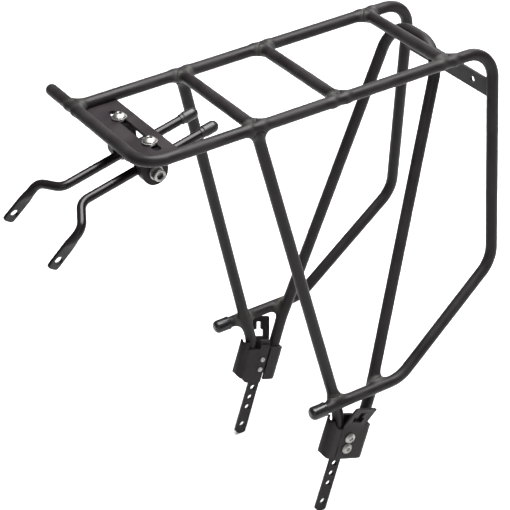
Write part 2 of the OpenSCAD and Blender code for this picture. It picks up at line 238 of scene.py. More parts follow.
@dataclass(frozen=True)
class PowderCoat:
    """Baked black powder: a satin skin with orange peel, cloudier and paler over the welds, where the paler
    greenish colour is partly the coat's own mottled tone and partly a painted highlight.
    """

    name: str = "powder_coat"
    dark: tuple[float, float, float] = (0.0052, 0.0038, 0.0046)
    light: tuple[float, float, float] = (0.0135, 0.0120, 0.0122)
    # weld: the paler greenish colour over the welds, partly the coat's own tone and partly a painted
    # highlight
    weld: tuple[float, float, float] = (0.040, 0.041, 0.0355)
    rough: float = 0.47
    rough_swing: float = 0.16
    peel_scale: float = 620.0
    grain_scale: float = 2300.0
    peel: float = 0.10
    grain: float = 0.12

    def material(self) -> bpy.types.Material:
        """The finished material."""
        book = MaterialBook(self.name)
        cloud = book.ramp(book.noise(38.0, 4.0, 0.6), 0.32, 0.7)
        speck = book.ramp(book.noise(self.grain_scale, 2.0), 0.42, 0.72)
        # the weld mask brings lumps, a rougher coat and the paler weld colour, which is partly a painted
        # highlight
        blended = book.ramp(book.layer("weld"), 0.05, 0.95)
        tone = book.blend(cloud * 0.55 + speck * 0.3, self.dark, self.light)
        book.set(
            Base_Color=book.blend(blended * (0.35 + 0.5 * cloud), tone, self.weld),
            Roughness=self.rough + self.rough_swing * (cloud - 0.5) + 0.1 * blended - 0.05 * speck,
            Specular_IOR_Level=0.14,
        )
        peel = book.bump(book.noise(self.peel_scale, 2.0), self.peel, 0.4 * MM)
        lumps = book.bump(book.noise(170.0, 3.0) * blended, 0.5, 1.2 * MM, peel)
        book.set(Normal=book.bump(book.noise(self.grain_scale, 1.0), self.grain, 0.08 * MM, lumps))
        return book.material


@dataclass(frozen=True)
class GlossBlack:
    """Bright black enamel on drawn steel rod, with faint drawn lines and dust marks."""

    name: str = "gloss_black"
    body: tuple[float, float, float] = (0.0045, 0.0034, 0.0036)
    worn: tuple[float, float, float] = (0.016, 0.0125, 0.0125)
    rough: float = 0.24

    def material(self) -> bpy.types.Material:
        """The finished material."""
        book = MaterialBook(self.name)
        cloud = book.noise(55.0, 3.0, 0.6)
        marks = book.ramp(book.noise(900.0, 3.0, 0.7), 0.58, 0.8)
        book.set(
            Base_Color=book.blend(marks * 0.6 + book.ramp(cloud, 0.5, 0.9) * 0.4, self.body, self.worn),
            Roughness=self.rough + 0.12 * (cloud - 0.4) + 0.16 * marks,
            Specular_IOR_Level=0.15,
            Coat_Weight=0.06,
            Coat_Roughness=0.12,
        )
        wave = book.bump(book.noise(150.0, 2.0), 0.12, 0.5 * MM)
        book.set(Normal=book.bump(book.noise(1500.0, 2.0), 0.06, 0.1 * MM, wave))
        return book.material


@dataclass(frozen=True)
class Moulded:
    """Moulded rubber or plastic, with a fine spark-eroded grain."""

    name: str
    body: tuple[float, float, float]
    scuffed: tuple[float, float, float]
    rough: float
    grain: float
    coat: float = 0.0

    def material(self) -> bpy.types.Material:
        """The finished material."""
        book = MaterialBook(self.name)
        cloud = book.ramp(book.noise(130.0, 3.0, 0.6), 0.35, 0.75)
        scuff = book.ramp(book.noise(620.0, 4.0, 0.7), 0.56, 0.78)
        book.set(
            Base_Color=book.blend(scuff * 0.6 + cloud * 0.3, self.body, self.scuffed),
            Roughness=self.rough + 0.1 * (cloud - 0.5) + 0.15 * scuff,
            Specular_IOR_Level=0.25,
            Coat_Weight=self.coat,
            Coat_Roughness=0.12,
        )
        soft = book.bump(book.noise(260.0, 2.0), 0.1, 0.3 * MM)
        book.set(Normal=book.bump(book.noise(3200.0, 2.0), self.grain, 0.06 * MM, soft))
        return book.material


@dataclass(frozen=True)
class ZincPlate:
    """Bright zinc on turned and forged steel, with tool marks and dull patches."""

    name: str = "zinc_plate"
    bright: tuple[float, float, float] = (0.27, 0.266, 0.255)
    dull: tuple[float, float, float] = (0.10, 0.097, 0.09)
    rough: float = 0.36

    def material(self) -> bpy.types.Material:
        """The finished material."""
        book = MaterialBook(self.name)
        cloud = book.ramp(book.noise(210.0, 4.0, 0.65), 0.34, 0.72)
        lines = book.noise(1.0, 2.0, 0.5, book.stretched((5200.0, 5200.0, 420.0)))
        pits = book.ramp(book.noise(1700.0, 3.0, 0.6), 0.6, 0.78)
        book.set(
            Base_Color=book.blend(cloud * 0.6 + pits * 0.4, self.bright, self.dull),
            Metallic=1.0,
            Roughness=self.rough + 0.16 * cloud + 0.1 * pits - 0.05 * lines,
        )
        book.set(Normal=book.bump(lines + 0.6 * pits, 0.14, 0.05 * MM))
        return book.material


class PaintShop:
    """Makes each finish once and hands it to pieces by slot."""

    def __init__(self) -> None:
        """Mixes every finish of the rack."""
        sheet = PowderCoat(
            name="sheet_coat",
            dark=(0.0055, 0.0038, 0.0047),
            light=(0.015, 0.0122, 0.0132),
            # weld: the sheet coat's paler colour over welds, partly its own tone and partly a painted
            # highlight
            weld=(0.030, 0.030, 0.027),
            rough=0.52,
            rough_swing=0.14,
            peel_scale=760.0,
        )
        rubber = Moulded("rubber", (0.0065, 0.006, 0.0065), (0.018, 0.017, 0.017), rough=0.36, grain=0.2)
        plastic = Moulded(
            "cap_plastic", (0.005, 0.0047, 0.0052), (0.014, 0.014, 0.0145), rough=0.22, grain=0.08, coat=0.05
        )
        self.coats = {
            Slot.COAT: PowderCoat().material(),
            Slot.SHEET: sheet.material(),
            Slot.GLOSS: GlossBlack().material(),
            Slot.RUBBER: rubber.material(),
            Slot.PLASTIC: plastic.material(),
            Slot.ZINC: ZincPlate().material(),
        }

    def dress(self, piece: bpy.types.Object, slot: Slot) -> None:
        """Puts a finish on a piece, in place of any it has.

        Args:
            piece: the object to paint.
            slot: which finish.
        """
        piece.data.materials.clear()
        piece.data.materials.append(self.coats[slot])


@dataclass
class Bench:
    """What every sub-assembly works with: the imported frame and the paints."""

    nodes: dict[str, bpy.types.Object]
    paints: PaintShop
    bodies: dict[str, list[str]]

    def body_of(self, node: str) -> str:
        """The body that a node belongs to."""
        return next(body for body, members in self.bodies.items() if node in members)

    def fit(self, piece: bpy.types.Object, slot: Slot, *stands_for: str) -> bpy.types.Object:
        """Paints a piece, lets it stand for CAD nodes and ride on their body.

        Args:
            piece: the finished object.
            slot: its finish.
            stands_for: the nodes that it replaces, all on one body.

        Returns:
            The same object.
        """
        self.paints.dress(piece, slot)
        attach(piece, self.body_of(stands_for[0]))
        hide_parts(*stands_for)
        LOG.info("%s stands for %s", piece.name, ", ".join(stands_for))
        return piece


# ---------------------------------------------------------------- mesh making


def unit(v: np.ndarray) -> np.ndarray:
    """Vectors scaled to length one along the last axis."""
    return v / np.linalg.norm(v, axis=-1, keepdims=True)


def grid_object(
    name: str,
    points: np.ndarray,
    ring: bool = False,
    sharp: float = 32.0,
    layer: np.ndarray | None = None,
) -> bpy.types.Object:
    """Makes a closed object from a grid of points.

    Rows run along the piece and each row is a loop. Quads join neighbouring rows, and either the last
    row joins the first, as on a ring, or both ends are closed with one face each.

    Args:
        name: the object's name.
        points: rows x loop x 3, in metres, each loop anticlockwise as seen from the last row's side.
        ring: whether the rows close on themselves.
        sharp: the angle in degrees past which an edge is shaded sharp.
        layer: rows x loop numbers, kept on the mesh as "weld".

    Returns:
        The object, linked to the scene.
    """
    rows, loop, _ = points.shape
    index = np.arange(rows * loop).reshape(rows, loop)
    low = index if ring else index[:-1]
    high = np.roll(index, -1, 0) if ring else index[1:]
    quads = np.stack([low, np.roll(low, -1, 1), np.roll(high, -1, 1), high], -1).reshape(-1, 4)
    faces = quads.tolist()
    if not ring:
        faces += [index[0][::-1].tolist(), index[-1].tolist()]
    mesh = bpy.data.meshes.new(name)
    mesh.from_pydata(points.reshape(-1, 3), [], faces)
    mesh.polygons.foreach_set("use_smooth", np.ones(len(faces), bool))
    if layer is not None:
        weld = mesh.attributes.new("weld", "FLOAT", "POINT")
        weld.data.foreach_set("value", layer.astype(np.float32).ravel())
    mesh.update()
    mesh.set_sharp_from_angle(angle=math.radians(sharp))
    made = bpy.data.objects.new(name, mesh)
    bpy.context.scene.collection.objects.link(made)
    return made


def basis(axis: np.ndarray, up: Sequence[float]) -> tuple[np.ndarray, np.ndarray]:
    """Two unit vectors square to an axis, the first as near to up as it can be."""
    across = unit(np.cross(axis, np.asarray(up, float)))
    return np.cross(across, axis), across


def turned(
    name: str,
    rows: Sequence[tuple[float, float] | tuple[float, float, float]],
    centre: Sequence[float],
    axis: Sequence[float],
    up: Sequence[float] = (0, 0, 1),
    ring: bool = False,
    count: int = 72,
    ribs: tuple[int, float, float, float] | None = None,
) -> bpy.types.Object:
    """A turned piece: a profile carried round an axis.

    Each row is a height along the axis and a radius, and may be a hexagon: then the radius is across
    its flats' middles and grows to the corners as 1 / cos of the angle from the nearest flat.

    Args:
        name: the object's name.
        rows: (height, radius) or (height, radius, share of hexagon), in metres.
        centre: the point on the axis at height 0.
        axis: the way that heights grow.
        up: turns the hexagon's first flat towards this direction.
        ring: whether the profile closes on itself, as a washer's does.
        count: points round each row, a multiple of 12.
        ribs: (number, depth, lowest, highest) of a straight knurl between two heights.

    Returns:
        The object.
    """
    full = np.array([(*row, 0.0)[:3] for row in rows])
    angle = np.arange(count) * TAU / count
    off = (angle + math.pi / 6) % (math.pi / 3) - math.pi / 6
    share = full[:, 2:3]
    radius = full[:, 1:2] * (1 - share + share / np.cos(off))
    if ribs is not None:
        number, depth, lowest, highest = ribs
        inside = (full[:, 0:1] > lowest) & (full[:, 0:1] < highest) & (full[:, 1:2] > 0.8 * full[:, 1].max())
        radius = radius - inside * depth * (0.5 + 0.5 * np.cos(number * angle)) ** 2
    along = unit(np.asarray(axis, float))
    first, _ = basis(along, up)
    circle = np.cos(angle)[:, None] * first + np.sin(angle)[:, None] * np.cross(along, first)
    spots = np.asarray(centre, float) + full[:, 0, None, None] * along + radius[..., None] * circle
    return grid_object(name, spots, ring)


def joined(name: str, pieces: list[bpy.types.Object]) -> bpy.types.Object:
    """One object that holds the meshes of several, which are removed."""
    work = bmesh.new()
    for piece in pieces:
        work.from_mesh(piece.data)
        bpy.data.objects.remove(piece)
    mesh = bpy.data.meshes.new(name)
    work.to_mesh(mesh)
    work.free()
    made = bpy.data.objects.new(name, mesh)
    bpy.context.scene.collection.objects.link(made)
    return made


def bored(piece: bpy.types.Object, cutter: bpy.types.Object, sharp: float = 32.0) -> None:
    """Cuts one object's shape out of another for good, and removes the cutter."""
    cut = piece.modifiers.new("bore", "BOOLEAN")
    cut.object = cutter
    cut.operation = "DIFFERENCE"
    cut.solver = "EXACT"
    shown = piece.evaluated_get(bpy.context.evaluated_depsgraph_get())
    mesh = bpy.data.meshes.new_from_object(shown)
    piece.modifiers.clear()
    piece.data = mesh
    mesh.set_sharp_from_angle(angle=math.radians(sharp))
    bpy.data.objects.remove(cutter)


@dataclass
class BentTube:
    """A round tube's axis: straight runs between corners, with a round bend at each corner.

    Sizes are in metres. Samples are a step apart; a weld's skin drops most of those far from any joint.
    """

    name: str
    corners: np.ndarray
    bends: Sequence[float]
    radius: float
    reference: Sequence[float]
    slot: Slot = Slot.COAT
    dome: bool = False
    step: float = 0.8 * MM
    spots: np.ndarray = field(init=False)
    ways: np.ndarray = field(init=False)
    bent: np.ndarray = field(init=False)

    def __post_init__(self) -> None:
        """Samples the axis: each run is a line, and each bend a circle's arc between its two runs."""
        spots, bent = [], []
        here = self.corners[0]
        for i in range(1, len(self.corners)):
            corner, last = self.corners[i], i == len(self.corners) - 1
            way = unit(corner - self.corners[i - 1])
            if last or not self.bends[i]:
                stop, curve = corner, None
            else:
                out = unit(self.corners[i + 1] - corner)
                turn = math.acos(float(np.clip(way @ out, -1, 1)))
                reach = self.bends[i] * math.tan(turn / 2)
                stop = corner - way * reach
                middle = stop + unit(out - way * (way @ out)) * self.bends[i]
                share = np.linspace(0, turn, max(int(self.bends[i] * turn / self.step), 6))[:, None]
                curve = middle + self.bends[i] * (
                    np.sin(share) * way - np.cos(share) * unit(middle - stop)
                )
            count = max(int(np.linalg.norm(stop - here) / self.step), 2)
            share = np.linspace(0, 1, count, endpoint=curve is None)[:, None]
            spots.append(here + share * (stop - here))
            bent.append(np.zeros(count, bool))
            if curve is not None:
                spots.append(curve[:-1])
                bent.append(np.ones(len(curve) - 1, bool))
                here = curve[-1]
        self.spots = np.concatenate(spots)
        self.bent = np.concatenate(bent)
        self.ways = unit(np.gradient(self.spots, axis=0))

    def coarse(self) -> np.ndarray:
        """The axis at every fifth sample and the last, for distances."""
        last = len(self.spots) - 1
        return self.spots[np.unique(np.append(np.arange(0, last, 5), last))]


@dataclass
class WeldBlend:
    """How a tube's skin rises into its neighbours at a weld.

    Two skins blend where both distances are small: the rounded minimum of distances a and b is
    min(a, b) - (reach - |a - b|)^2 / (4 reach). A point of the skin moves out along its own radius until
    that is nought or the neighbour is as near as its own tube, so the two skins meet in a fillet.
    It moves less where the skins run side by side, as over the top of a joint.
    """

    reach: float = 8.5 * MM
    marching: int = 26
    halving: int = 14
    ripple: float = 0.10 * MM
    clear: float = 0.5 * MM

    def gap(self, points: np.ndarray, lines: list[tuple[np.ndarray, float]]) -> tuple[np.ndarray, np.ndarray]:
        """Distance from points to the nearest neighbour's skin, and the direction away from it.

        Args:
            points: n x 3.
            lines: each neighbour's axis points and radius.

        Returns:
            n distances and n x 3 unit directions.
        """
        best = np.full(len(points), np.inf)
        away = np.zeros_like(points)
        for line, radius in lines:
            start, run = line[:-1], np.diff(line, axis=0)
            length = (run**2).sum(1)
            share = ((points[:, None] - start) * run).sum(-1) / length
            foot = start + np.clip(share, 0, 1)[..., None] * run
            reach = np.linalg.norm(points[:, None] - foot, axis=-1)
            pick = reach.argmin(1)
            rows = np.arange(len(points))
            gap = reach[rows, pick] - radius
            nearer = gap < best
            best = np.where(nearer, gap, best)
            away[nearer] = (points - foot[rows, pick])[nearer]
        return best, away / np.maximum(np.linalg.norm(away, axis=1, keepdims=True), 1e-9)

    def rise(
        self, axis: np.ndarray, out: np.ndarray, radius: float, lines: list[tuple[np.ndarray, float]]
    ) -> np.ndarray:
        """How far each point of a skin moves out.

        Args:
            axis: n x 3 points on the tube's axis.
            out: n x 3 directions of the radii.
            radius: the tube's radius.
            lines: the neighbours near by.

        Returns:
            n lengths.
        """
        start, away = self.gap(axis + out * radius, lines)
        rise = np.zeros(len(axis))
        for _ in range(self.marching):
            near, _ = self.gap(axis + out * (radius + rise)[:, None], lines)
            spread = np.maximum(self.reach - np.abs(near - rise), 0)
            rounded = np.minimum(near, rise) - spread**2 / (4 * self.reach)
            rise = np.minimum(rise + np.maximum(-rounded, 0), self.reach)
        low, high = np.zeros_like(rise), rise.copy()
        near, _ = self.gap(axis + out * (radius + rise)[:, None], lines)
        crossed = rise > near
        for _ in range(self.halving):
            middle = (low + high) / 2
            near, _ = self.gap(axis + out * (radius + middle)[:, None], lines)
            over = middle > near
            low, high = np.where(over, low, middle), np.where(over, middle, high)
        rise = np.where(crossed, high, rise)
        side_by_side = np.clip((1 - (away * out).sum(1)) * 1.5, 0, 1)
        rise = rise * side_by_side * side_by_side * (3 - 2 * side_by_side)
        return np.where(start < -0.3 * MM, 0, rise)

    def wavy(self, points: np.ndarray) -> np.ndarray:
        """Low lumps of a hand-laid weld: a sum of four sines across space, from -1 to 1."""
        waves = np.array([[820, 310, -240], [-350, 900, 420], [260, -480, 1010], [610, 640, 590]], float)
        return np.sin(points @ waves.T + np.arange(4)).mean(-1)

    def skin(self, tube: BentTube, others: list[BentTube], sides: int = 56) -> bpy.types.Object:
        """The tube's object, with its welds raised.

        Args:
            tube: the tube to skin.
            others: every tube of the frame; those that don't touch it change nothing.
            sides: points round the tube.

        Returns:
            The object, with the weld's share stored as "weld".
        """
        lines = [(other.coarse(), other.radius) for other in others if other is not tube]
        far = self.reach + tube.radius + 1 * MM
        near_ring = np.zeros(len(tube.spots), bool)
        close = []
        for line, radius in lines:
            gap, _ = self.gap(tube.spots, [(line, radius)])
            if gap.min() < tube.radius - self.clear:
                near_ring |= gap < far
                close.append((line, radius))
        order = np.arange(len(tube.spots))
        keep = near_ring | (tube.bent & (order % 2 == 0)) | (order % 6 == 0)
        keep[[0, -1]] = True
        spots, ways, near_ring = tube.spots[keep], tube.ways[keep], near_ring[keep]
        first, _ = basis(ways, tube.reference)
        square = np.cross(ways, first)
        angle = np.arange(sides)[:, None] * TAU / sides
        out = np.cos(angle) * first[:, None] + np.sin(angle) * square[:, None]
        rise = np.zeros((len(spots), sides))
        runs = np.flatnonzero(near_ring)
        for rows in np.split(runs, np.flatnonzero(np.diff(runs) > 1) + 1) if close else []:
            axis = np.repeat(spots[rows], sides, 0)
            box = [spots[rows].min(0) - 3 * self.reach, spots[rows].max(0) + 3 * self.reach]
            trimmed = [(line[np.all((line > box[0]) & (line < box[1]), 1)], radius) for line, radius in close]
            trimmed = [(line, radius) for line, radius in trimmed if len(line) > 1]
            raised = self.rise(axis, out[rows].reshape(-1, 3), tube.radius, trimmed)
            rise[rows] = raised.reshape(-1, sides)
        shape = np.full((len(spots), 1), tube.radius)
        if tube.dome:
            spots, out, rise, shape = self.domed(tube, spots, ways, out, rise)
        raised = np.clip(rise / (1.6 * MM), 0, 1)
        points = spots[:, None] + out * (shape + rise)[..., None]
        points = points + out * (self.ripple * raised * self.wavy(points))[..., None]
        return grid_object(f"{tube.name}_skin", points, layer=raised)

    def domed(
        self, tube: BentTube, spots: np.ndarray, ways: np.ndarray, out: np.ndarray, rise: np.ndarray
    ) -> tuple[np.ndarray, np.ndarray, np.ndarray, np.ndarray]:
        """Adds a half ball at the tube's start: rows whose radius falls as the cosine of the angle."""
        turns = np.radians(np.linspace(88, 8, 12))
        extra = spots[0] - tube.radius * np.sin(turns)[:, None] * ways[0]
        count = len(turns)
        shape = np.concatenate([tube.radius * np.cos(turns), np.full(len(spots), tube.radius)])[:, None]
        return (
            np.concatenate([extra, spots]),
            np.concatenate([np.repeat(out[:1], count, 0), out]),
            np.concatenate([np.zeros((count, rise.shape[1])), rise]),
            shape,
        )


def rounded_copy(node: str, width: float, segments: int = 3, angle: float = 28.0) -> bpy.types.Object:
    """A copy of a CAD node with its points merged, its flats joined and its edges rounded over.

    Args:
        node: the CAD node's name.
        width: the rounding's width in metres.
        segments: steps across the rounding.
        angle: only edges sharper than this, in degrees, are rounded.

    Returns:
        The new object, with a live Bevel modifier.
    """
    mesh = bpy.data.objects[node].data.copy()
    mesh.name = f"{node}_shape"
    work = bmesh.new()
    work.from_mesh(mesh)
    bmesh.ops.remove_doubles(work, verts=work.verts, dist=0.002 * MM)
    bmesh.ops.dissolve_limit(work, angle_limit=math.radians(0.6), verts=work.verts, edges=work.edges)
    for face in work.faces:
        face.smooth = True
    work.to_mesh(mesh)
    work.free()
    mesh.set_sharp_from_angle(angle=math.radians(angle))
    made = bpy.data.objects.new(f"{node}_shape", mesh)
    bpy.context.scene.collection.objects.link(made)
    bevel = made.modifiers.new("edge", "BEVEL")
    bevel.width = width
    bevel.segments = segments
    bevel.limit_method = "ANGLE"
    bevel.angle_limit = math.radians(angle)
    bevel.harden_normals = True
    return made


# ---------------------------------------------------------------- the rack


@dataclass
class TubeFrame:
    """The welded frame: two side tubes, three crossbars, two front legs and the rear hoop."""

    bar_nodes = ("front_crossbar", "middle_crossbar", "rear_crossbar")

    bench: Bench
    rail: float = 0.059
    rear: float = -0.1912
    horn: float = 0.0437
    corner: float = 0.020
    drop: float = 0.024
    low: float = 0.030
    drop_foot: tuple[float, float, float] = (-0.1773, 0.0753, 0.184)
    bag_rail_start: float = -0.077
    leg_knee: tuple[float, float, float] = (-0.0133, 0.073, 0.1147)
    clamp_y: float = 0.072
    leg_across: float = 0.0122
    hoop_across: float = -0.0135
    sleeve_from: float = 0.052
    leg_bend_at: float = 0.0837
    hoop_bend_at: float = 0.107
    hoop_half: float = 0.0336
    hoop_gap: float = 0.75 * MM
    cap_past: float = 0.0035

    def __post_init__(self) -> None:
        """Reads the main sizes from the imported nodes."""
        low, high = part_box("front_crossbar")
        self.radius = (high.z - low.z) / 2
        self.deck = (high.z + low.z) / 2
        self.bars = [(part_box(n)[0].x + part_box(n)[1].x) / 2 for n in self.bar_nodes]
        self.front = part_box("left_side_tube")[1].x - self.radius
        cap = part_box("left_rail_cap")
        self.bag_rail = ((cap[0].y + cap[1].y) / 2, (cap[0].z + cap[1].z) / 2)
        self.bag_rail_end = cap[1].x - self.cap_past

    def in_clamp(self, up: float, across: float) -> list[float]:
        """A point in the left clamp's middle plane, from its distances up and across the height strip."""
        return [
            across * math.cos(CLAMP_LEAN) - up * math.sin(CLAMP_LEAN),
            self.clamp_y,
            up * math.cos(CLAMP_LEAN) + across * math.sin(CLAMP_LEAN),
        ]

    def side_tube(self, side: Side) -> BentTube:
        """One side's deck rail, upright and bag rail; the left one starts with the front bar."""
        y, z = self.bag_rail
        lower = [self.drop_foot, (self.bag_rail_start, y, z), (self.bag_rail_end, y, z)]
        rail = [(self.front, self.rail, self.deck), (self.rear, self.rail, self.deck)]
        corners = side.flip(np.array([*rail, *lower]))
        bends = [0, self.drop, self.low, self.low, 0]
        if side is Side.LEFT:
            start = (self.front, -self.rail - self.horn + self.radius, self.deck)
            corners = np.vstack([start, corners])
            bends = [0, self.corner, *bends[1:]]
        return BentTube(
            f"{side.word}_side_tube", corners, bends, self.radius, (0.55, 0.6, 0.58), dome=side is Side.LEFT
        )

    def front_leg(self, side: Side) -> BentTube:
        """One front leg, from the rail down into its folded clamp."""
        corners = [
            (self.bars[0], self.rail, self.deck),
            self.leg_knee,
            self.in_clamp(self.leg_bend_at, self.leg_across),
            self.in_clamp(self.sleeve_from, self.leg_across),
        ]
        name = f"{side.word}_front_leg"
        return BentTube(name, side.flip(np.array(corners)), [0, 0.060, 0.026, 0], self.radius, (1, 0.2, 0.1))

    def hoop(self) -> BentTube:
        """The rear legs and the bar that joins them under the deck, one bent tube."""
        foot = self.in_clamp(self.sleeve_from, self.hoop_across)
        knee = self.in_clamp(self.hoop_bend_at, self.hoop_across)
        top = (self.bars[2] - 2 * self.radius - self.hoop_gap, self.hoop_half, self.deck)
        half = np.array([foot, knee, top])
        corners = np.vstack([half, Side.RIGHT.flip(half)[::-1]])
        bends = [0, 0.060, 0.030, 0.030, 0.060, 0]
        return BentTube("rear_leg_hoop", corners, bends, self.radius, (1, 0.3, 0.2))

    def crossbar(self, node: str, x: float) -> BentTube:
        """One straight crossbar between the rails' axes."""
        ends = np.array([(x, -self.rail, self.deck), (x, self.rail, self.deck)])
        return BentTube(node, ends, [0, 0], self.radius, (0, 0, 1))

    def build(self) -> None:
        """Skins every tube and fits it in place of its node."""
        tubes = [self.side_tube(Side.LEFT), self.side_tube(Side.RIGHT), self.hoop()]
        tubes += [self.front_leg(side) for side in Side]
        tubes += [self.crossbar(node, x) for node, x in zip(self.bar_nodes, self.bars)]
        blend = WeldBlend()
        for tube in tubes:
            self.bench.fit(blend.skin(tube, tubes), tube.slot, tube.name)


@dataclass
class SheetWork:
    """Plates and folded sheets, whose sheared edges are rounded over by the coating."""

    bench: Bench
    edge: float = 0.45 * MM

    def build(self) -> None:
        """Rounds and dresses each plate."""
        for node, slot in (("stay_plate", Slot.SHEET), ("light_plate", Slot.COAT)):
            self.bench.fit(rounded_copy(node, self.edge), slot, node)
        for side in Side:
            for word in ("clamp_plate", "hook_plate", "height_strip"):
                node = f"{side.word}_{word}"
                self.bench.fit(rounded_copy(node, self.edge), Slot.SHEET, node)


@dataclass(frozen=True)
class HeadProfile:
    """Profiles of bolts, in metres: heights from the seat, outwards through the head.

    Each profile starts at the shank's end and finishes on the floor of the hexagon socket.
    """

    shank: float
    length: float
    head: float
    height: float
    socket: float
    depth: float
    dome: float = 0.0

    def rows(self) -> list[tuple[float, ...]]:
        """The profile's rows, for turned()."""
        nick = 0.25 * MM
        rows: list[tuple[float, ...]] = [
            (-self.length, self.shank - 2 * nick),
            (-self.length + 2 * nick, self.shank),
            (0, self.shank),
            (0, self.head - nick),
            (nick, self.head),
        ]
        mouth = self.socket * 1.24
        if self.dome:
            centre = self.height - self.dome
            start = math.acos(self.head / self.dome)
            stop = math.acos(mouth / self.dome)
            turns = np.linspace(start, stop, 9)
            rows += [(centre + self.dome * math.sin(t), self.dome * math.cos(t)) for t in turns]
            crown = rows[-1][0]
        else:
            soft = 2.6 * nick
            rows += arc_rows(self.height - soft, self.head - soft, soft)
            rows += [(self.height, mouth + nick), (self.height - 0.3 * nick, mouth)]
            crown = self.height
        rows += [
            (crown - nick, self.socket * 1.07, 0.9),
            (crown - 2 * nick, self.socket, 1.0),
            (crown - self.depth, self.socket, 1.0),
            (crown - self.depth - nick, self.socket * 0.6, 0.5),
        ]
        return rows


def arc_rows(height: float, radius: float, soft: float, count: int = 6) -> list[tuple[float, float]]:
    """A round outer corner, from the wall in to the top face, about (height, radius)."""
    turns = np.radians(np.linspace(0, 90, count))
    return [(height + soft * math.sin(t), radius + soft * math.cos(t)) for t in turns]


def washer_rows(inner: float, outer: float, thick: float) -> list[tuple[float, float]]:
    """A washer's closed profile, with its punched edges rounded."""
    nick = 0.22 * MM
    low = [(nick, inner), (0, inner + nick), (0, outer - 1.6 * nick)]
    low += [(0.4 * nick, outer - 0.4 * nick), (1.6 * nick, outer)]
    high = [(thick - h, r) for h, r in reversed(low)]
    return low + high


